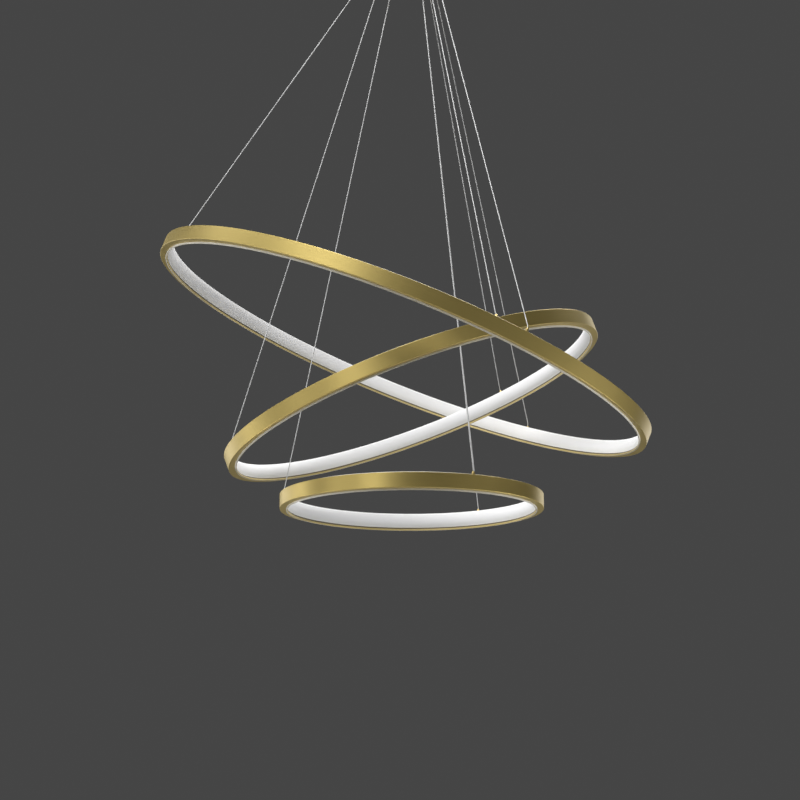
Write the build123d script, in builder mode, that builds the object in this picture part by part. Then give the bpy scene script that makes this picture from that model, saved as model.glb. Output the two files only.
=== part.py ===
"""Three-ring pendant light: three rolled gold channels with opal diffusers that face
inwards, each ring hung on three taut cables from one round ceiling canopy.

Millimetres, +Z up. The origin is the centre of the canopy's ceiling face, and the
rings hang below it. The photograph's camera stands on the -Y side."""

import os
from math import cos, pi, radians, sin

from build123d import *

os.makedirs("parts", exist_ok=True)

# ---- the three rings ----
large_diameter = 800.0
medium_diameter = 600.0
small_diameter = 400.0
large_drop = 619.0  # from the grips' bend points down to the ring's centre
medium_drop = 701.0
small_drop = 862.0
large_tilt = 21.7  # degrees, positive lifts the left side
medium_tilt = -20.2
small_tilt = 0.0
large_shift = -12.5  # how far the ring's centre hangs to the side of the canopy's axis
medium_shift = -0.5
small_shift = -1.0

# ---- the rolled channel ----
channel_height = 22.0
channel_depth = 10.0
channel_wall = 1.6
channel_rounding = 0.6
seam_gap = 0.25  # the butt joint of the rolled ring, at the back
seam_azimuth = 90.0

# ---- the clip-on diffuser ----
diffuser_gap = 0.1  # between the diffuser and the channel's two lips
overlap = 2.5  # how far the rim and the bead stand above and below the channel
bead_depth = 1.9  # of the upper rim and the lower bead
bead_height = 4.0
bead_rounding = 0.7
groove_depth = 1.1  # depth of the groove's floor beyond the diffuser's back
groove_height = 1.5
crown_depth = 3.9
diffuser_wall = 1.5
leg_length = 1.6
leg_wall = 1.2
leg_gap = 0.3

# ---- light strip and splice inside the channel ----
strip_width = 10.0
strip_thickness = 0.4
strip_gap = 0.1
joiner_length = 60.0
joiner_width = 4.0
joiner_thickness = 2.0
joiner_gap = 0.1
joiner_offset = 1.0  # from the channel's outer wall
joiner_screw_pitch = 30.0
joiner_screw_radius = 1.2
joiner_head_radius = 2.1
joiner_head_depth = 1.0

# ---- cables and their ends ----
cable_azimuths = {"left": 180.0, "front": -60.0, "back": 60.0}
cable_diameter = 1.6
anchor_inset = 5.0  # from the ring's outer face to the anchors
anchor_radius = 2.5
anchor_barrel = 3.2
anchor_nose = 2.8
anchor_nose_radius = 1.5
anchor_stem_radius = 1.45
anchor_stem_length = 4.4
anchor_nut_radius = 2.3
anchor_nut_height = 2.2
bore_clearance = 0.2  # round a cable in its anchor
thread_clearance = 0.05
anchor_bend_height = 1.0  # from the anchor's tip to where the cable turns
anchor_bend_radius = 4.0
grip_bend_drop = 2.0  # from the plunger's tip to where the cable turns
grip_bend_radius = 6.0

# ---- canopy ----
canopy_radius = 100.0
canopy_height = 45.0
canopy_wall = 1.2
canopy_rounding = 6.0
plate_clearance = 6.8  # between the plate's edge and the canopy's wall
plate_thickness = 1.5
ear_width = 18.0
ear_length = 24.0
ear_clearance = 0.8  # between the ear and the canopy's wall
side_screw_drop = 14.0
side_screw_radius = 2.0
side_screw_length = 8.0
side_head_radius = 4.5
side_head_height = 3.0
ceiling_hole_inset = 30.0  # from the plate's edge
ceiling_hole_radius = 2.6
ceiling_hole_azimuth = 30.0
mains_offset = 18.0
mains_hole_radius = 8.0
bush_flange_radius = 10.0
bush_flange = 3.0
bush_bore_radius = 5.0

# ---- cable grips in the canopy's floor ----
large_grip_circle = 64.0
medium_grip_circle = 44.0
small_grip_circle = 25.0
grip_body_radius = 5.5
grip_body_length = 5.5
grip_neck_radius = 4.0
grip_neck_length = 8.0
grip_chamber_radius = 2.8
grip_floor = 4.0  # from the grip's lower face up to the plunger's seat
grip_nut_flats = 11.0
grip_nut_height = 3.0
grip_cap_height = 1.0
grip_cap_plug = 1.5
plunger_radius = 2.0
plunger_bore_radius = 1.15
plunger_collar_radius = 2.5
plunger_collar_height = 1.5
plunger_reach = 3.5  # how far it stands out below the grip
plunger_clearance = 0.05
seat_gap = 0.1

# ---- drivers and wiring on the plate ----
driver_inset = 37.0  # from the plate's edge to the middle of a driver
driver_azimuths = {"large": 90.0, "medium": 210.0, "small": 330.0}
driver_width = 30.0
driver_height = 20.0
driver_rounding = 2.0
driver_foot = 1.2
driver_foot_edge = 3.5  # from a screw's centre to the foot's end
driver_screw_pitch = 75.0
driver_screw_radius = 1.5
driver_head_radius = 2.8
driver_head_height = 1.8
driver_head_gap = 0.7  # between a screw's head and the case
terminal_offset = -26.0
terminal_length = 26.0
terminal_width = 18.0
terminal_height = 14.0
terminal_pitch = 8.0
terminal_hole_radius = 1.8
earth_offset = 24.0
earth_radius = 2.0
earth_length = 10.0
earth_nut_flats = 7.0
earth_nut_height = 3.2

# ---- worked out from the sizes above ----
plate_radius = canopy_radius - canopy_wall - plate_clearance
ceiling_circle = plate_radius - ceiling_hole_inset
driver_circle = plate_radius - driver_inset
driver_length = driver_screw_pitch - 2 * (driver_head_radius + driver_head_gap)
driver_foot_length = driver_screw_pitch + 2 * driver_foot_edge
canopy_floor = -canopy_height
grip_face = canopy_floor - grip_body_length
plunger_tip = grip_face - plunger_reach
bend_height = plunger_tip - grip_bend_drop
cable_radius = cable_diameter / 2
rings = {
    "large": (large_diameter / 2, large_drop, large_shift, large_tilt, large_grip_circle),
    "medium": (medium_diameter / 2, medium_drop, medium_shift, medium_tilt, medium_grip_circle),
    "small": (small_diameter / 2, small_drop, small_shift, small_tilt, small_grip_circle),
}


def write(builder, name):
    """Labels a finished piece and writes it as one STEP file."""
    builder.part.label = name
    export_step(builder.part, f"parts/{name}.step")


def spot(radius, azimuth, height=0.0):
    """A point at a radius and azimuth from a plane's own axis."""
    angle = radians(azimuth)
    return Vector(radius * cos(angle), radius * sin(angle), height)


def section_plane(plane, azimuth):
    """A plane through another plane's axis: X points outwards and Y along the axis."""
    outwards = plane.x_dir * cos(radians(azimuth)) + plane.y_dir * sin(radians(azimuth))
    return Plane(plane.origin, x_dir=outwards, z_dir=outwards.cross(plane.z_dir))


def plane_at(plane, point):
    """The same directions, with the origin moved to a point given in the plane."""
    return Plane(plane.from_local_coords(point), x_dir=plane.x_dir, z_dir=plane.z_dir)


# ---- canopy: the ceiling plate, its ears and its holes ----
ear_face = canopy_radius - canopy_wall - ear_clearance
terminal_front = terminal_offset - terminal_width / 2
driver_planes = {
    size: Plane(
        spot(driver_circle, azimuth, -plate_thickness),
        x_dir=spot(1, azimuth - 90),
        z_dir=(0, 0, -1),
    )
    for size, azimuth in driver_azimuths.items()
}

with BuildPart() as ceiling_plate:
    with BuildSketch(Plane.XY.offset(-plate_thickness)):
        Circle(plate_radius)
        Rectangle(2 * ear_face, ear_width)
    extrude(amount=plate_thickness)
    with BuildSketch(Plane.XY.offset(-ear_length)):
        with Locations((ear_face - plate_thickness / 2, 0), (plate_thickness / 2 - ear_face, 0)):
            Rectangle(plate_thickness, ear_width)
    extrude(amount=ear_length)
    fillet(
        ceiling_plate.edges().filter_by(Axis.X).group_by(Axis.Z)[0],
        radius=plate_thickness / 4,
    )
    with BuildSketch(Plane.YZ.offset(-canopy_radius)):
        with Locations((0, -side_screw_drop)):
            Circle(side_screw_radius + thread_clearance)
    extrude(amount=2 * canopy_radius, mode=Mode.SUBTRACT)
    with BuildSketch(Plane.XY.offset(-plate_thickness)):
        with PolarLocations(ceiling_circle, 3, start_angle=ceiling_hole_azimuth):
            Circle(ceiling_hole_radius)
        with Locations((0, mains_offset)):
            Circle(mains_hole_radius)
        with Locations((earth_offset, 0)):
            Circle(earth_radius + thread_clearance)
    extrude(amount=plate_thickness, mode=Mode.SUBTRACT)
    for plane in driver_planes.values():
        with BuildSketch(plane):
            with GridLocations(driver_screw_pitch, 0, 2, 1):
                Circle(driver_screw_radius + thread_clearance)
        extrude(amount=-plate_thickness, mode=Mode.SUBTRACT)
write(ceiling_plate, "ceiling_plate")

# ---- canopy: the drawn cup that covers the plate ----
grip_spots = {
    (size, side): spot(circle, azimuth)
    for size, (_, _, _, _, circle) in rings.items()
    for side, azimuth in cable_azimuths.items()
}

with BuildPart() as canopy_cup:
    with BuildSketch(Plane.XY.offset(canopy_floor)):
        Circle(canopy_radius)
    extrude(amount=canopy_height)
    fillet(canopy_cup.edges().group_by(Axis.Z)[0], radius=canopy_rounding)
    offset(amount=-canopy_wall, openings=canopy_cup.faces().sort_by(Axis.Z)[-1])
    with BuildSketch(Plane.XY.offset(canopy_floor)):
        with Locations(*grip_spots.values()):
            Circle(grip_neck_radius + seat_gap)
    extrude(amount=canopy_wall, mode=Mode.SUBTRACT)
    with BuildSketch(Plane.YZ.offset(-canopy_radius)):
        with Locations((0, -side_screw_drop)):
            Circle(side_screw_radius + seat_gap)
    extrude(amount=2 * canopy_radius, mode=Mode.SUBTRACT)
write(canopy_cup, "canopy_cup")

# ---- canopy: the two screws that hold the cup to the plate's ears ----
head_seat = canopy_radius + seat_gap
with BuildPart() as side_screws:
    with BuildSketch(Plane.XZ.offset(0)):
        with BuildLine():
            Polyline(
                (head_seat - side_screw_length, -side_screw_drop),
                (head_seat - side_screw_length, side_screw_radius - side_screw_drop),
                (head_seat, side_screw_radius - side_screw_drop),
                (head_seat, side_head_radius - side_screw_drop),
                (head_seat + side_head_height, side_head_radius - side_screw_drop),
                (head_seat + side_head_height, -side_screw_drop),
                close=True,
            )
        make_face()
    revolve(axis=Axis((0, 0, -side_screw_drop), (1, 0, 0)))
    fillet(
        side_screws.edges().filter_by(GeomType.CIRCLE).group_by(Axis.X)[-1],
        radius=side_head_height / 3,
    )
    mirror(about=Plane.YZ)
write(side_screws, "side_screws")

# ---- canopy: bush for the mains cable, terminal block and earth stud ----
with BuildPart() as mains_bush:
    with BuildSketch(Plane((0, mains_offset, -plate_thickness - bush_flange))):
        Circle(bush_flange_radius)
    extrude(amount=bush_flange)
    fillet(mains_bush.edges().group_by(Axis.Z)[0], radius=bush_flange / 3)
    with BuildSketch(Plane((0, mains_offset, -plate_thickness))):
        Circle(mains_hole_radius - seat_gap)
    extrude(amount=plate_thickness - seat_gap)
    with BuildSketch(Plane((0, mains_offset, -plate_thickness - bush_flange))):
        Circle(bush_bore_radius)
    extrude(amount=plate_thickness + bush_flange, mode=Mode.SUBTRACT)
write(mains_bush, "mains_bush")

with BuildPart() as terminal_block:
    with BuildSketch(Plane((0, terminal_offset, -plate_thickness - terminal_height))):
        Rectangle(terminal_length, terminal_width)
    extrude(amount=terminal_height)
    chamfer(
        terminal_block.edges().filter_by(Axis.X).group_by(Axis.Z)[0],
        length=terminal_width / 6,
    )
    with BuildSketch(Plane.XZ.offset(-terminal_front)):
        with Locations((0, -plate_thickness - terminal_height / 2)):
            with GridLocations(terminal_pitch, 0, 3, 1):
                Circle(terminal_hole_radius)
    extrude(amount=-terminal_width, mode=Mode.SUBTRACT)
    with BuildSketch(Plane((0, terminal_offset, -plate_thickness - terminal_height))):
        with GridLocations(terminal_pitch, 0, 3, 1):
            Circle(terminal_hole_radius)
    extrude(amount=terminal_height / 2, mode=Mode.SUBTRACT)
write(terminal_block, "terminal_block")

with BuildPart() as earth_stud:
    with BuildSketch(Plane((earth_offset, 0, -plate_thickness - earth_length))):
        Circle(earth_radius)
    extrude(amount=plate_thickness + earth_length - seat_gap)
    with BuildSketch(Plane((earth_offset, 0, -plate_thickness - earth_nut_height))):
        RegularPolygon(earth_nut_flats / 2, 6, major_radius=False)
    extrude(amount=earth_nut_height)
write(earth_stud, "earth_stud")

# ---- canopy: one driver for each ring, screwed under the plate ----
for size, plane in driver_planes.items():
    with BuildPart() as driver:
        with BuildSketch(plane):
            Rectangle(driver_length, driver_width)
        extrude(amount=driver_height)
        fillet(driver.edges().filter_by(Axis.Z), radius=driver_rounding)
        fillet(driver.faces().sort_by(Axis.Z)[0].edges(), radius=driver_rounding / 2)
        with BuildSketch(plane):
            Rectangle(driver_foot_length, driver_width / 2)
            with GridLocations(driver_screw_pitch, 0, 2, 1):
                Circle(driver_screw_radius + seat_gap, mode=Mode.SUBTRACT)
        extrude(amount=driver_foot)
    write(driver, f"driver_{size}")

with BuildPart() as driver_screws:
    for plane in driver_planes.values():
        with BuildSketch(plane.offset(driver_foot)):
            with GridLocations(driver_screw_pitch, 0, 2, 1):
                Circle(driver_head_radius)
        extrude(amount=driver_head_height)
        with BuildSketch(plane.offset(seat_gap - plate_thickness)):
            with GridLocations(driver_screw_pitch, 0, 2, 1):
                Circle(driver_screw_radius)
        extrude(amount=plate_thickness - seat_gap + driver_foot)
write(driver_screws, "driver_screws")

# ---- cable grips: barrel, nut and cap for each of the nine cables ----
neck_top = canopy_floor + grip_neck_length
plunger_seat = grip_face + grip_floor
nut_seat = canopy_floor + canopy_wall

with BuildPart() as grip_barrels:
    with Locations(*grip_spots.values()):
        with Locations((0, 0, grip_face)):
            Cone(
                grip_body_radius - grip_body_length / 5,
                grip_body_radius,
                grip_body_length,
                align=(Align.CENTER, Align.CENTER, Align.MIN),
            )
        with Locations((0, 0, canopy_floor)):
            Cylinder(
                grip_neck_radius,
                grip_neck_length,
                align=(Align.CENTER, Align.CENTER, Align.MIN),
            )
        with Locations((0, 0, grip_face)):
            Cylinder(
                plunger_radius + plunger_clearance,
                grip_floor,
                align=(Align.CENTER, Align.CENTER, Align.MIN),
                mode=Mode.SUBTRACT,
            )
        with Locations((0, 0, plunger_seat)):
            Cylinder(
                grip_chamber_radius,
                neck_top - plunger_seat,
                align=(Align.CENTER, Align.CENTER, Align.MIN),
                mode=Mode.SUBTRACT,
            )
write(grip_barrels, "grip_barrels")

with BuildPart() as grip_nuts:
    with BuildSketch(Plane.XY.offset(nut_seat)):
        with Locations(*grip_spots.values()):
            RegularPolygon(grip_nut_flats / 2, 6, major_radius=False)
            Circle(grip_neck_radius + thread_clearance, mode=Mode.SUBTRACT)
    extrude(amount=grip_nut_height)
write(grip_nuts, "grip_nuts")

with BuildPart() as grip_caps:
    with BuildSketch(Plane.XY.offset(neck_top)):
        with Locations(*grip_spots.values()):
            Circle(grip_neck_radius)
            Circle(plunger_bore_radius, mode=Mode.SUBTRACT)
    extrude(amount=grip_cap_height)
    with BuildSketch(Plane.XY.offset(neck_top)):
        with Locations(*grip_spots.values()):
            Circle(grip_chamber_radius - seat_gap)
            Circle(plunger_bore_radius, mode=Mode.SUBTRACT)
    extrude(amount=-grip_cap_plug)
write(grip_caps, "grip_caps")

# ---- cable grips: the sprung plunger that frees each cable when it is pushed up ----
for (size, side), place in grip_spots.items():
    with BuildPart() as plunger:
        with BuildSketch(Plane(place + Vector(0, 0, plunger_tip))):
            Circle(plunger_radius)
            Circle(plunger_bore_radius, mode=Mode.SUBTRACT)
        extrude(amount=plunger_seat + seat_gap - plunger_tip)
        with BuildSketch(Plane(place + Vector(0, 0, plunger_seat + seat_gap))):
            Circle(plunger_collar_radius)
            Circle(plunger_bore_radius, mode=Mode.SUBTRACT)
        extrude(amount=plunger_collar_height)
        rims = plunger.edges().filter_by(GeomType.CIRCLE).group_by(Axis.Z)[0]
        chamfer(rims, length=(plunger_radius - plunger_bore_radius) / 3)
    write(plunger, f"{size}_plunger_{side}")

# ---- the rings, each made in its own tilted plane at mid-height ----
lip = channel_height / 2
back = channel_depth + diffuser_gap
leg_outer = lip - channel_wall - leg_gap
leg_inner = leg_outer - leg_wall
bead_edge = lip + overlap - bead_height
groove_edge = bead_edge - groove_height
joiner_top = lip - channel_wall - joiner_gap
anchor_tip = anchor_barrel + anchor_nose

for size, (radius, drop, shift, tilt, circle) in rings.items():
    lean = radians(tilt)
    ring_plane = Plane(
        (shift, 0, bend_height - drop),
        x_dir=(cos(lean), 0, -sin(lean)),
        z_dir=(sin(lean), 0, cos(lean)),
    )
    ring_axis = Axis(ring_plane.origin, ring_plane.z_dir)
    profile_plane = section_plane(ring_plane, 0)
    seam_plane = section_plane(ring_plane, seam_azimuth)
    top_plane = ring_plane.offset(lip)
    anchor_spots = {
        side: spot(radius - anchor_inset, azimuth) for side, azimuth in cable_azimuths.items()
    }
    joiner_radius = radius - channel_wall - joiner_offset - joiner_width / 2
    half_pitch = joiner_screw_pitch / 2 / joiner_radius * 180 / pi
    joiner_spots = [
        spot(joiner_radius, seam_azimuth - half_pitch),
        spot(joiner_radius, seam_azimuth + half_pitch),
    ]

    # the rolled channel: its open side faces the ring's centre
    with BuildPart() as channel:
        with BuildSketch(profile_plane):
            with Locations((radius - channel_depth / 2, 0)):
                outline = Rectangle(channel_depth, channel_height)
            fillet(outline.vertices().group_by(Axis.X)[-1], radius=channel_rounding)
            with Locations((radius - channel_wall, 0)):
                Rectangle(
                    channel_depth,
                    channel_height - 2 * channel_wall,
                    align=(Align.MAX, Align.CENTER),
                    mode=Mode.SUBTRACT,
                )
        revolve(axis=ring_axis)
        with BuildSketch(seam_plane):
            with Locations((radius - channel_depth / 2, 0)):
                Rectangle(2 * channel_depth, 2 * channel_height)
        extrude(amount=seam_gap / 2, both=True, mode=Mode.SUBTRACT)
        with BuildSketch(top_plane):
            with Locations(*anchor_spots.values()):
                Circle(anchor_stem_radius + thread_clearance)
            with Locations(*joiner_spots):
                Circle(joiner_screw_radius + thread_clearance)
        extrude(amount=-channel_wall, mode=Mode.SUBTRACT)
        for place in joiner_spots:
            with BuildSketch(plane_at(top_plane, place)):
                Circle(joiner_head_radius + thread_clearance)
            extrude(amount=-joiner_head_depth, mode=Mode.SUBTRACT)
    write(channel, f"{size}_channel")

    # the opal diffuser: a crowned face that meets the upper lip in a rounded rim, a groove
    # and a bead over the lower lip, and two legs behind the lips
    with BuildPart() as diffuser:
        with BuildSketch(profile_plane):
            with BuildLine():
                front = radius - back
                Line((front, lip + overlap), (front - bead_depth, lip + overlap))
                ThreePointArc(
                    (front - bead_depth, lip + overlap),
                    (front - crown_depth, 0),
                    (front - groove_depth, -groove_edge),
                )
                Line((front - groove_depth, -groove_edge), (front - groove_depth, -bead_edge))
                Line((front - groove_depth, -bead_edge), (front - bead_depth, -bead_edge))
                Line((front - bead_depth, -bead_edge), (front - bead_depth, -lip - overlap))
                Line((front - bead_depth, -lip - overlap), (front, -lip - overlap))
                Line((front, -lip - overlap), (front, -leg_outer))
                Line((front, -leg_outer), (front + leg_length, -leg_outer))
                Line((front + leg_length, -leg_outer), (front + leg_length, -leg_inner))
                Line((front + leg_length, -leg_inner), (front, -leg_inner))
                ThreePointArc(
                    (front, -leg_inner),
                    (front - crown_depth + diffuser_wall, 0),
                    (front, leg_inner),
                )
                Line((front, leg_inner), (front + leg_length, leg_inner))
                Line((front + leg_length, leg_inner), (front + leg_length, leg_outer))
                Line((front + leg_length, leg_outer), (front, leg_outer))
                Line((front, leg_outer), (front, lip + overlap))
            face = make_face()
            rims = face.vertices().group_by(Axis.Y)
            fillet([v for v in rims[0] + rims[-1] if v.X < front - bead_depth / 2], bead_rounding)
        revolve(axis=ring_axis)
    write(diffuser, f"{size}_diffuser")

    # the flexible light strip, stuck to the channel's outer wall
    with BuildPart() as light_strip:
        with BuildSketch(profile_plane):
            with Locations((radius - channel_wall - strip_gap - strip_thickness / 2, 0)):
                Rectangle(strip_thickness, strip_width)
        revolve(axis=ring_axis)
    write(light_strip, f"{size}_light_strip")

    # the splice plate under the upper lip, across the seam, and its two screws
    half_arc = joiner_length / 2 / joiner_radius * 180 / pi
    with BuildPart() as joiner:
        with BuildSketch(section_plane(ring_plane, seam_azimuth - half_arc)):
            with Locations((joiner_radius, joiner_top - joiner_thickness / 2)):
                Rectangle(joiner_width, joiner_thickness)
        revolve(axis=ring_axis, revolution_arc=2 * half_arc)
        with BuildSketch(ring_plane.offset(joiner_top)):
            with Locations(*joiner_spots):
                Circle(joiner_screw_radius + thread_clearance)
        extrude(amount=-joiner_thickness, mode=Mode.SUBTRACT)
    write(joiner, f"{size}_joiner")

    with BuildPart() as joiner_screws:
        with BuildSketch(top_plane.offset(-joiner_head_depth)):
            with Locations(*joiner_spots):
                Circle(joiner_head_radius)
        extrude(amount=joiner_head_depth)
        with BuildSketch(top_plane.offset(-joiner_head_depth)):
            with Locations(*joiner_spots):
                Circle(joiner_screw_radius)
        extrude(amount=joiner_head_depth + joiner_top - joiner_thickness - lip)
    write(joiner_screws, f"{size}_joiner_screws")

    # the three anchors that stand on the upper lip, with their nuts inside the channel
    with BuildPart() as anchors:
        for azimuth, place in zip(cable_azimuths.values(), anchor_spots.values()):
            foot = plane_at(top_plane, place)
            with BuildSketch(section_plane(foot, azimuth)):
                with BuildLine():
                    Polyline(
                        (0, -anchor_stem_length),
                        (anchor_stem_radius, -anchor_stem_length),
                        (anchor_stem_radius, 0),
                        (anchor_radius, 0),
                        (anchor_radius, anchor_barrel),
                        (anchor_nose_radius, anchor_tip),
                        (cable_radius + bore_clearance, anchor_tip),
                        (cable_radius + bore_clearance, channel_wall - anchor_stem_length),
                        (0, channel_wall - anchor_stem_length),
                        close=True,
                    )
                make_face()
            revolve(axis=Axis(foot.origin, foot.z_dir))
    write(anchors, f"{size}_anchors")

    with BuildPart() as anchor_nuts:
        with BuildSketch(top_plane.offset(-channel_wall)):
            with Locations(*anchor_spots.values()):
                Circle(anchor_nut_radius)
                Circle(anchor_stem_radius + thread_clearance, mode=Mode.SUBTRACT)
        extrude(amount=-anchor_nut_height)
    write(anchor_nuts, f"{size}_anchor_nuts")

    # the three cables: up from the anchor, a bend, one taut run, a bend, into the grip
    for side, place in anchor_spots.items():
        foot = plane_at(top_plane, place)
        grip = grip_spots[size, side]
        route = [
            foot.from_local_coords((0, 0, channel_wall - anchor_stem_length + seat_gap)),
            foot.from_local_coords((0, 0, anchor_tip + anchor_bend_height)),
            grip + Vector(0, 0, bend_height),
            grip + Vector(0, 0, neck_top + grip_cap_height + grip_bend_drop),
        ]
        with BuildPart() as cable:
            with BuildLine():
                line = FilletPolyline(*route, radius=[anchor_bend_radius, grip_bend_radius])
            with BuildSketch(Plane(line @ 0, z_dir=line % 0)):
                Circle(cable_radius)
            sweep()
        write(cable, f"{size}_cable_{side}")
        print(f"{size}_cable_{side}: {line.length:.1f} mm long")
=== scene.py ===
from math import cos, pi, radians, sin

import bpy
from mathutils import Matrix, Vector


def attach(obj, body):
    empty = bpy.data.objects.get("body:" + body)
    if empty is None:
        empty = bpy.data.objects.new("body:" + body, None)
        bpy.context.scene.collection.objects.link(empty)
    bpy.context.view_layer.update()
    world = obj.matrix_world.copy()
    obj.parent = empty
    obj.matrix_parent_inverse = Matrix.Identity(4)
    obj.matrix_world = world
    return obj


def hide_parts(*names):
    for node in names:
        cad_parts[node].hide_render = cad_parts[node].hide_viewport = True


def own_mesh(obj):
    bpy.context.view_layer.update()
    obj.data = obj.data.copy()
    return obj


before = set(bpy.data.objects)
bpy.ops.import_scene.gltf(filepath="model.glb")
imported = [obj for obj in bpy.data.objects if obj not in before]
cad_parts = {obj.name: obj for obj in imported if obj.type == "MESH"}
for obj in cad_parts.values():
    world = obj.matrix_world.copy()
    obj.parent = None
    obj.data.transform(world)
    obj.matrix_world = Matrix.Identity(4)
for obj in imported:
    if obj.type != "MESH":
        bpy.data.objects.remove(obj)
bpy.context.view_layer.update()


# ---- ceiling plate ----
# A zinc-plated steel disc with two folded ears, screwed to the ceiling through three holes.
# The drivers, the terminal block and the earth stud hang under it. The screws that hold the
# drivers and the nuts of the cable grips are zinc-plated too.
class Link:
    """A socket of a finish. An expression on it adds its Math nodes."""

    def __init__(self, finish, socket):
        self.finish = finish
        self.socket = socket

    def math(self, operation, *others):
        values = dict(enumerate((self, *others)))
        return self.finish.node("ShaderNodeMath", values, operation=operation)

    def __add__(self, other):
        return self.math("ADD", other)

    def __sub__(self, other):
        return self.math("SUBTRACT", other)

    def __rsub__(self, other):
        return self.finish.node("ShaderNodeMath", {0: other, 1: self}, operation="SUBTRACT")

    def __mul__(self, other):
        return self.math("MULTIPLY", other)

    def __pow__(self, other):
        return self.math("POWER", other)

    __radd__ = __add__
    __rmul__ = __mul__


class Finish:
    """One material's node tree. Its node method adds any node but those of an expression."""

    def __init__(self, name):
        self.material = bpy.data.materials.new(name)
        self.material.use_nodes = True
        self.tree = self.material.node_tree
        self.tree.nodes.clear()

    def node(self, kind, sockets=None, out=0, **settings):
        made = self.tree.nodes.new(kind)
        for name, value in settings.items():
            setattr(made, name, value)
        for name, value in (sockets or {}).items():
            if isinstance(value, Link):
                self.tree.links.new(value.socket, made.inputs[name])
            else:
                made.inputs[name].default_value = value
        return Link(self, made.outputs[out]) if made.outputs else None

    def noise(self, vector, scale, detail=3.0, roughness=0.5):
        sockets = {"Vector": vector, "Scale": scale, "Detail": detail, "Roughness": roughness}
        return self.node("ShaderNodeTexNoise", sockets)

    def between(self, factor, low, high):
        """The value of low where the factor is 0 and of high where it is 1."""
        sockets = {"Value": factor, "To Min": low, "To Max": high}
        return self.node("ShaderNodeMapRange", sockets)

    def blend(self, factor, first, second):
        """One colour over another, as the factor goes from 0 to 1."""
        sockets = {0: factor}
        for place, colour in ((6, first), (7, second)):
            sockets[place] = colour if isinstance(colour, Link) else (*colour, 1.0)
        return self.node("ShaderNodeMix", sockets, out=2, data_type="RGBA")

    def bump(self, height, distance):
        return self.node("ShaderNodeBump", {"Height": height, "Distance": distance})

    def place(self, centre=(0, 0, 0), turn=(0, 0, 0)):
        """Object coordinates, centred and turned onto one piece."""
        point = self.node("ShaderNodeTexCoord", out="Object")
        sockets = {"Vector": point, "Location": centre, "Rotation": turn}
        return self.node("ShaderNodeMapping", sockets, vector_type="TEXTURE")

    def split(self, point):
        """The three parts of a point, each as a link of its own."""
        made = self.node("ShaderNodeSeparateXYZ", {0: point}).socket.node
        return [Link(self, part) for part in made.outputs]

    def surface(self, **sockets):
        """The finished material, from the shader's sockets with _ for each space."""
        named = {name.replace("_", " "): value for name, value in sockets.items()}
        shader = self.node("ShaderNodeBsdfPrincipled", named)
        self.node("ShaderNodeOutputMaterial", {"Surface": shader})
        return self.material


def dress(node, material):
    """Gives a CAD piece its finish."""
    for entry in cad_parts[node].material_slots:
        entry.material = material
    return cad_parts[node]


ZINC_DARK, ZINC_LIGHT = (0.46, 0.47, 0.49), (0.60, 0.61, 0.62)
SHEET_GRAIN, FITTING_GRAIN = 90.0, 400.0  # how fine the spangle is, on sheet and on small parts
SPANGLE = 1.6  # how much finer its crystals are than its clouds
ZINC_DEPTH = 0.00004


def zinc(name, grain):
    finish = Finish(name)
    point = finish.place()
    cloud = finish.noise(point, grain, 2.0)
    spangle = finish.node("ShaderNodeTexVoronoi", {"Vector": point, "Scale": grain * SPANGLE})
    return finish.surface(
        Base_Color=finish.blend(cloud * 0.7 + spangle * 0.3, ZINC_DARK, ZINC_LIGHT),
        Metallic=0.9,
        Roughness=finish.between(cloud, 0.30, 0.46),
        Normal=finish.bump(cloud, ZINC_DEPTH),
    )


dress("ceiling_plate", zinc("zinc_plate", SHEET_GRAIN))
dress("driver_screws", zinc("zinc_screws", FITTING_GRAIN))
dress("grip_nuts", zinc("zinc_nuts", FITTING_GRAIN))


# ---- canopy cup ----
# A round cup drawn from aluminium sheet and satin gold like the rings. Its finish is
# spun, so fine lines run round its wall and circle its floor.
GOLD_DARK, GOLD_LIGHT = (0.42, 0.325, 0.108), (0.54, 0.418, 0.138)
ALONG, ACROSS = 14.0, 2600.0  # how fine the brushing is, along its lines and across them
GOLD_CLOUD = 22.0
BRUSH_DEPTH = 0.000012
SATIN = 0.35, 0.47  # the roughness between the darkest and the lightest line


def brushed_gold(name, centre=(0, 0, 0), tilt=0.0):
    finish = Finish(name)
    point = finish.place(centre, (0, tilt, 0))
    x, y, z = finish.split(point)
    radius = (x * x + y * y) ** 0.5
    lines = finish.node("ShaderNodeCombineXYZ", {0: x * ALONG, 1: y * ALONG, 2: (z + radius) * ACROSS})
    brush = finish.noise(lines, 1.0, 3.0, 0.6)
    cloud = finish.noise(point, GOLD_CLOUD, 2.0)
    tone = brush * 0.75 + cloud * 0.25
    return finish.surface(
        Base_Color=finish.blend(tone, GOLD_DARK, GOLD_LIGHT),
        Metallic=0.85,
        Roughness=finish.between(tone, *SATIN),
        Normal=finish.bump(brush, BRUSH_DEPTH),
    )


dress("canopy_cup", brushed_gold("canopy_gold"))


# ---- turned gold fittings ----
# Brass turned on a lathe and plated gold: the side screws that hold the cup, the earth
# stud, the cable grips in the cup's floor with their caps and plungers, and the anchors on
# the rings with their nuts.
BRASS_DARK, BRASS_LIGHT = (0.42, 0.32, 0.12), (0.56, 0.43, 0.18)
TOOL_LINES, WEAR = 5200.0, 160.0  # how fine the lathe's lines and the worn patches are
LINE_DEPTH = 0.00001


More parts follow.
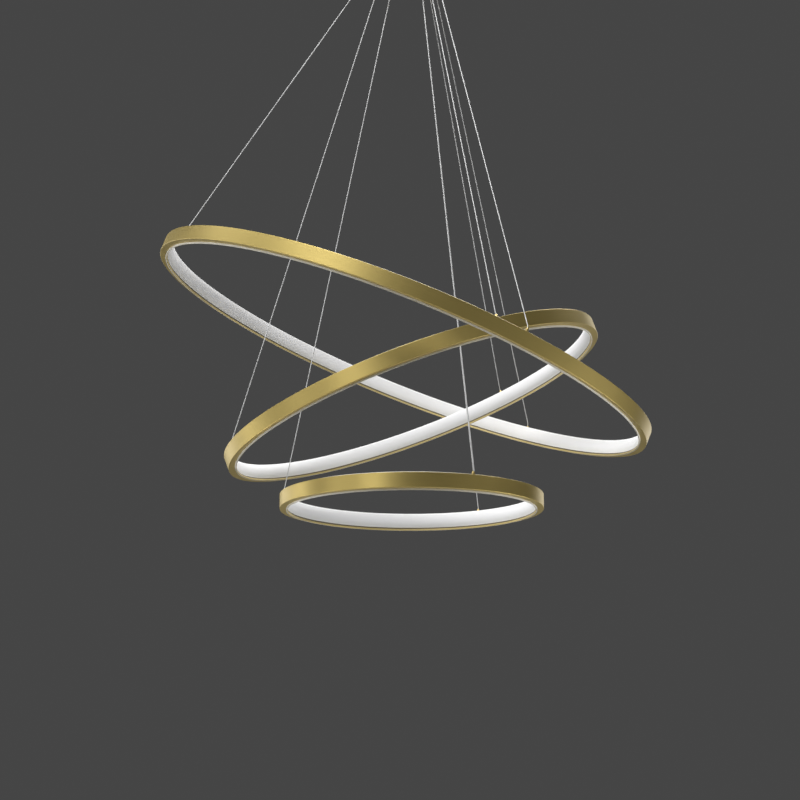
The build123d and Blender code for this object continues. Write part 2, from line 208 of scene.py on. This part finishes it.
def turned_gold(name):
    finish = Finish(name)
    point = finish.place()
    x, y, z = finish.split(point)
    fine = finish.node("ShaderNodeCombineXYZ", {2: z * TOOL_LINES})
    rings = finish.noise(fine, 1.0, 2.0)
    wear = finish.noise(point, WEAR)
    return finish.surface(
        Base_Color=finish.blend(wear, BRASS_DARK, BRASS_LIGHT),
        Metallic=0.9,
        Roughness=finish.between(rings, 0.24, 0.38),
        Normal=finish.bump(rings, LINE_DEPTH),
    )


fittings = turned_gold("turned_gold")
for node in ("side_screws", "grip_barrels", "grip_caps", "earth_stud"):
    dress(node, fittings)
for size in ("large", "medium", "small"):
    dress(f"{size}_anchors", fittings)
    dress(f"{size}_anchor_nuts", fittings)
    for side in ("left", "front", "back"):
        dress(f"{size}_plunger_{side}", fittings)


# ---- mains bush, terminal block and drivers ----
# The bush is black rubber. The terminal block and the driver cases are moulded, with the
# fine spark-eroded grain of their tools.
RUBBER = (0.020, 0.020, 0.021), (0.040, 0.040, 0.042)
NYLON = (0.70, 0.68, 0.58), (0.78, 0.76, 0.68)
DRIVER_CASE = (0.66, 0.66, 0.65), (0.74, 0.74, 0.73)
RUBBER_GRAIN, NYLON_GRAIN, CASE_GRAIN = 900.0, 700.0, 1400.0
MOTTLE = 35.0
PIT_DEPTH = 0.00003


def moulded(name, colours, grain, roughness):
    finish = Finish(name)
    point = finish.place()
    pits = finish.noise(point, grain, 2.0)
    cloud = finish.noise(point, MOTTLE, 2.0)
    return finish.surface(
        Base_Color=finish.blend(cloud, *colours),
        Roughness=finish.between(pits, roughness - 0.06, roughness + 0.08),
        Normal=finish.bump(pits, PIT_DEPTH),
    )


dress("mains_bush", moulded("bush_rubber", RUBBER, RUBBER_GRAIN, 0.72))
dress("terminal_block", moulded("terminal_nylon", NYLON, NYLON_GRAIN, 0.42))
for size in ("large", "medium", "small"):
    dress(f"driver_{size}", moulded(f"driver_case_{size}", DRIVER_CASE, CASE_GRAIN, 0.5))


# ---- the three rings ----
# Each is an aluminium channel rolled to a circle, brushed along its length and satin
# gold, with a splice plate under its upper lip where its two ends meet at the back.
RINGS = {  # centre, tilt in degrees and radius
    "large": ((-0.0125, 0.0, -0.675), 21.7, 0.400),
    "medium": ((-0.0005, 0.0, -0.757), -20.2, 0.300),
    "small": ((-0.0010, 0.0, -0.918), 0.0, 0.200),
}
zinc_inside = zinc("zinc_joiners", FITTING_GRAIN)
for size, (centre, tilt, radius) in RINGS.items():
    dress(f"{size}_channel", brushed_gold(f"{size}_brushed_gold", centre, radians(tilt)))
    dress(f"{size}_joiner", zinc_inside)
    dress(f"{size}_joiner_screws", zinc_inside)


# ---- light strips ----
# A flexible white circuit, stuck to the inside of each channel's outer wall. Its small
# yellow chips sit side by side every few millimetres.
CHIP_PITCH, CHIP_HEIGHT = 0.0075, 0.0030
CHIP_SHARE = 0.48  # how much of the pitch a chip takes
CIRCUIT, CHIP = (0.82, 0.82, 0.80), (0.78, 0.62, 0.16)
for size, (centre, tilt, radius) in RINGS.items():
    finish = Finish(f"{size}_light_strip")
    point = finish.place(centre, (0, radians(tilt), 0))
    x, y, height = finish.split(point)
    turn = y.math("ARCTAN2", x)
    along = (turn * (radius / CHIP_PITCH)).math("FRACT")
    chip = (along - 0.5).math("ABSOLUTE").math("LESS_THAN", CHIP_SHARE / 2)
    row = height.math("ABSOLUTE").math("LESS_THAN", CHIP_HEIGHT / 2)
    dress(
        f"{size}_light_strip",
        finish.surface(
            Base_Color=finish.blend(chip * row, CIRCUIT, CHIP),
            Roughness=0.45,
        ),
    )


# ---- diffusers ----
# Opal silicone extrusions clipped into the open side of the channels. The skin is satin,
# with a painted highlight along its top edge and painted shade on its lower half. The inner
# face of the lower bead is gold like the channel, under a groove painted dark with shade.
# Besides the opal's white: painted shade for the skin's lower half, and a painted highlight for its
# top edge.
WHITE, SHADED, PAINTED_HIGHLIGHT = (0.87, 0.87, 0.88), (0.84, 0.835, 0.80), (0.94, 0.94, 0.94)
# The first is painted shade for the groove, a dark line where shadow falls under the skin.
GROOVE_SHADE, PALE_GOLD = (0.12, 0.10, 0.06), (0.48, 0.40, 0.23)
RIM, GROOVE, BEAD = 0.0110, -0.0098, -0.0105  # heights above the ring's middle
HALF_GROOVE = 0.0011
TRIM = 0.0112  # from the ring's outer face in to where the bead's gold begins
HAZE = 9.0
FADE = 110.0  # painted shade: the skin's lower half is shaded in full nine millimetres below its middle
for size, (centre, tilt, radius) in RINGS.items():
    finish = Finish(f"{size}_opal")
    point = finish.place(centre, (0, radians(tilt), 0))
    x, y, height = finish.split(point)
    cloud = finish.noise(point, HAZE, 2.0)
    # painted shade, darker towards the bottom of the skin
    low = finish.between(height * -FADE, 0.0, 1.0)
    skin = finish.blend(low * 0.8 + cloud * 0.2, WHITE, SHADED)
    # a painted highlight along the top edge of the skin
    skin = finish.blend(height.math("GREATER_THAN", RIM), skin, PAINTED_HIGHLIGHT)
    gold = finish.blend(cloud, GOLD_LIGHT, PALE_GOLD)
    inner = ((x * x + y * y) ** 0.5).math("LESS_THAN", radius - TRIM)
    bead = height.math("LESS_THAN", BEAD) * inner
    # a dark line of painted shade in the groove
    groove = (height - GROOVE).math("ABSOLUTE").math("LESS_THAN", HALF_GROOVE)
    dress(
        f"{size}_diffuser",
        finish.surface(
            Base_Color=finish.blend(groove, finish.blend(bead, skin, gold), GROOVE_SHADE),
            Metallic=bead * 0.5,
            Roughness=finish.between(cloud, 0.50, 0.60),
            Specular_IOR_Level=0.35,
        ),
    )


# ---- steel cables ----
# Nine steel cables of six strands laid round a core. Each is clamped in its grip above
# and in its anchor below, hangs straight between them, and bends only at its two ends.
def cable_tree():
    tree = bpy.data.node_groups.new("laid_cable", "GeometryNodeTree")
    tree.interface.new_socket("Route", in_out="INPUT", socket_type="NodeSocketGeometry")
    for name, kind, value in (
        ("Radius", "NodeSocketFloat", 0.0008),
        ("Groove", "NodeSocketFloat", 0.00008),
        ("Strands", "NodeSocketInt", 6),
        ("Step", "NodeSocketFloat", 0.0026),
        ("Lay", "NodeSocketFloat", 0.0125),
    ):
        tree.interface.new_socket(name, in_out="INPUT", socket_type=kind).default_value = value
    tree.interface.new_socket("Finish", in_out="INPUT", socket_type="NodeSocketMaterial")
    tree.interface.new_socket("Cable", in_out="OUTPUT", socket_type="NodeSocketGeometry")
    nodes, links = tree.nodes, tree.links
    given = nodes.new("NodeGroupInput").outputs
    result = nodes.new("NodeGroupOutput")

    def sum_of(operation, *values):
        made = nodes.new("ShaderNodeMath")
        made.operation = operation
        for entry, value in zip(made.inputs, values):
            if isinstance(value, float):
                entry.default_value = value
            else:
                links.new(value, entry)
        return made.outputs[0]

    run = nodes.new("GeometryNodeResampleCurve")
    run.mode = "LENGTH"
    links.new(given["Route"], run.inputs["Curve"])
    links.new(given["Step"], run.inputs["Length"])
    along = nodes.new("GeometryNodeSplineParameter").outputs["Length"]
    twist = nodes.new("GeometryNodeSetCurveTilt")
    links.new(run.outputs["Curve"], twist.inputs["Curve"])
    links.new(sum_of("MULTIPLY", sum_of("DIVIDE", along, given["Lay"]), 2 * pi), twist.inputs["Tilt"])

    # the section: a circle whose radius dips in the grooves between the strands
    ring = nodes.new("GeometryNodeCurvePrimitiveCircle")
    ring.inputs["Radius"].default_value = 1.0
    links.new(sum_of("MULTIPLY", given["Strands"], 3.0), ring.inputs["Resolution"])
    turn = nodes.new("GeometryNodeSplineParameter").outputs["Factor"]
    wave = sum_of("COSINE", sum_of("MULTIPLY", sum_of("MULTIPLY", turn, given["Strands"]), 2 * pi))
    dip = sum_of("MULTIPLY", sum_of("MULTIPLY", sum_of("SUBTRACT", 1.0, wave), 0.5), given["Groove"])
    reach = sum_of("SUBTRACT", given["Radius"], dip)
    spot = nodes.new("GeometryNodeInputPosition").outputs[0]
    grown = nodes.new("ShaderNodeVectorMath")
    grown.operation = "SCALE"
    links.new(spot, grown.inputs[0])
    links.new(reach, grown.inputs["Scale"])
    section = nodes.new("GeometryNodeSetPosition")
    links.new(ring.outputs["Curve"], section.inputs["Geometry"])
    links.new(grown.outputs[0], section.inputs["Position"])

    swept = nodes.new("GeometryNodeCurveToMesh")
    swept.inputs["Fill Caps"].default_value = True
    links.new(twist.outputs["Curve"], swept.inputs["Curve"])
    links.new(section.outputs["Geometry"], swept.inputs["Profile Curve"])
    smooth = nodes.new("GeometryNodeSetShadeSmooth")
    links.new(swept.outputs["Mesh"], smooth.inputs["Geometry"])
    whole = nodes.new("GeometryNodeRealizeInstances")
    links.new(smooth.outputs["Geometry"], whole.inputs["Geometry"])
    clad = nodes.new("GeometryNodeSetMaterial")
    links.new(whole.outputs["Geometry"], clad.inputs["Geometry"])
    links.new(given["Finish"], clad.inputs["Material"])
    links.new(clad.outputs["Geometry"], result.inputs["Cable"])
    return tree


STEEL_DARK, STEEL_LIGHT = (0.50, 0.50, 0.50), (0.66, 0.66, 0.66)
WIRE_GRAIN = 2200.0
finish = Finish("cable_steel")
wires = finish.noise(finish.place(), WIRE_GRAIN, 2.0)
steel = finish.surface(
    Base_Color=finish.blend(wires, STEEL_DARK, STEEL_LIGHT),
    Metallic=0.3,
    Roughness=finish.between(wires, 0.46, 0.62),
)
laid_cable = cable_tree()
AZIMUTHS = {"left": 180.0, "front": -60.0, "back": 60.0}
GRIP_CIRCLES = {"large": 0.064, "medium": 0.044, "small": 0.025}
CABLE = 0.0016
LIP, INSET = 0.011, 0.005  # the anchors stand on the channel's lip, in from its outer face
FOOT, TIP = -0.0027, 0.007  # the cable's end in its anchor and its bend, from the lip
BEND, TOP = -0.056, -0.034  # its bend under the grip and its end above it
LOWER_EASE, UPPER_EASE = 0.010, 0.022  # how soon it runs straight after each bend

for size, (centre, tilt, radius) in RINGS.items():
    lean = Matrix.Rotation(radians(tilt), 3, "Y")
    for side, azimuth in AZIMUTHS.items():
        outwards = Vector((cos(radians(azimuth)), sin(radians(azimuth)), 0.0))
        anchor = Vector(centre) + lean @ (outwards * (radius - INSET) + Vector((0, 0, LIP)))
        up = lean @ Vector((0, 0, 1))
        grip = outwards * GRIP_CIRCLES[size]
        foot, bend = anchor + up * FOOT, anchor + up * TIP
        exit, top = grip + Vector((0, 0, BEND)), grip + Vector((0, 0, TOP))
        pull = (exit - bend).normalized()
        route = [foot, bend, bend + pull * LOWER_EASE, exit - pull * UPPER_EASE, exit, top]

        data = bpy.data.curves.new("route", "CURVE")
        data.dimensions = "3D"
        data.resolution_u = 8
        spline = data.splines.new("NURBS")
        spline.points.add(len(route) - 1)
        for point, place in zip(spline.points, route):
            point.co = (*place, 1.0)
        spline.order_u = 3
        spline.use_endpoint_u = True
        line = bpy.data.objects.new("route", data)
        bpy.context.scene.collection.objects.link(line)
        depsgraph = bpy.context.evaluated_depsgraph_get()
        middle = bpy.data.meshes.new_from_object(line.evaluated_get(depsgraph))

        modifier = line.modifiers.new("laid_cable", "NODES")
        modifier.node_group = laid_cable
        entries = {item.name: item.identifier for item in laid_cable.interface.items_tree}
        modifier[entries["Radius"]] = CABLE / 2
        modifier[entries["Finish"]] = steel
        depsgraph = bpy.context.evaluated_depsgraph_get()
        mesh = bpy.data.meshes.new_from_object(line.evaluated_get(depsgraph))
        line.modifiers.remove(modifier)
        bpy.data.objects.remove(line)

        cable = bpy.data.objects.new(f"{size}_steel_cable_{side}", mesh)
        bpy.context.scene.collection.objects.link(cable)
        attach(cable, "canopy")
        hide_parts(f"{size}_cable_{side}")
        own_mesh(cable)


# ---- room ----
# A pale floor under an even, dark room. Low and high soft lamps stand all round, placed for
# the bright bands that they make in the gold, and two from below light the undersides.
FLOOR_SIZE, FLOOR_HEIGHT = 14.0, -2.8
PAINT_LIGHT, PAINT_DARK = (0.80, 0.80, 0.79), (0.788, 0.788, 0.77815)
BACKDROP = 0.06  # the strength of the room's even light, which also gives its dark grey

finish = Finish("floor_paint")
grain = finish.noise(finish.place(), 3.0, 2.0)
paint = finish.surface(
    Base_Color=finish.blend(grain, PAINT_LIGHT, PAINT_DARK),
    Roughness=0.9,
)
bpy.ops.mesh.primitive_plane_add(size=FLOOR_SIZE, location=(0.0, 0.0, FLOOR_HEIGHT))
floor = bpy.context.object
floor.name = "floor"
floor.data.materials.append(paint)
floor.visible_diffuse = False  # the room's own light is even, above and below the rings

world = bpy.data.worlds.new("room")
bpy.context.scene.world = world
world.use_nodes = True
backdrop = world.node_tree.nodes["Background"].inputs
backdrop["Color"].default_value = (1.0, 1.0, 1.0, 1.0)
backdrop["Strength"].default_value = BACKDROP

TALL, SQUARE, WIDE, FLAT = (0.9, 1.8), (1.4, 1.4), (2.8, 1.8), (1.6, 0.6)
LAMPS = {  # azimuth and height in degrees, size in metres, power in watts
    "front_low": (-120.0, 6.0, TALL, 14.0),
    "left_low": (-152.0, 6.0, TALL, 8.0),
    "left_rear": (165.0, 6.0, TALL, 14.0),
    "rear_left": (135.0, 6.0, TALL, 11.0),
    "rear_right": (62.0, 6.0, TALL, 8.5),
    "right_front": (-35.0, 6.0, WIDE, 2.5),
    "front_high": (-115.0, 50.0, SQUARE, 82.0),
    "rear_high": (60.0, 50.0, SQUARE, 80.0),
    "left_high": (180.0, 50.0, SQUARE, 24.0),
    "right_below": (0.0, -30.0, FLAT, 38.0),
    "left_below": (180.0, -30.0, FLAT, 26.0),
}
AMONG_RINGS = Vector((0.0, 0.0, -0.75))  # where they all point
LAMP_DISTANCE = 3.0
for name, (azimuth, height, (width, tall), power) in LAMPS.items():
    a, e = radians(azimuth), radians(height)
    aim = Vector((cos(a) * cos(e), sin(a) * cos(e), sin(e)))
    lamp = bpy.data.objects.new(name, bpy.data.lights.new(name, "AREA"))
    lamp.data.shape = "RECTANGLE"
    lamp.data.size = width
    lamp.data.size_y = tall
    lamp.data.energy = power
    lamp.location = AMONG_RINGS + aim * LAMP_DISTANCE
    lamp.rotation_mode = "QUATERNION"
    lamp.rotation_quaternion = (-aim).to_track_quat("-Z", "Y")
    lamp.visible_camera = False
    bpy.context.scene.collection.objects.link(lamp)


# ---- camera ----
# The lamp is seen from below and from the front, from three and a half metres away, with
# the rings in the middle of the picture and the canopy just above its upper edge.
EYE, GAZE = (0.1699, -3.4722, -1.5048), (-0.05304, 0.97631, 0.20979)
LENS, SENSOR = 104.56, 36.0  # in millimetres
camera = bpy.data.objects.new("camera", bpy.data.cameras.new("camera"))
camera.data.lens = LENS
camera.data.sensor_width = SENSOR
camera.location = EYE
camera.rotation_mode = "QUATERNION"
camera.rotation_quaternion = Vector(GAZE).to_track_quat("-Z", "Y")
bpy.context.scene.collection.objects.link(camera)
bpy.context.scene.camera = camera

bpy.context.scene.view_settings.view_transform = "Standard"
bpy.context.view_layer.update()
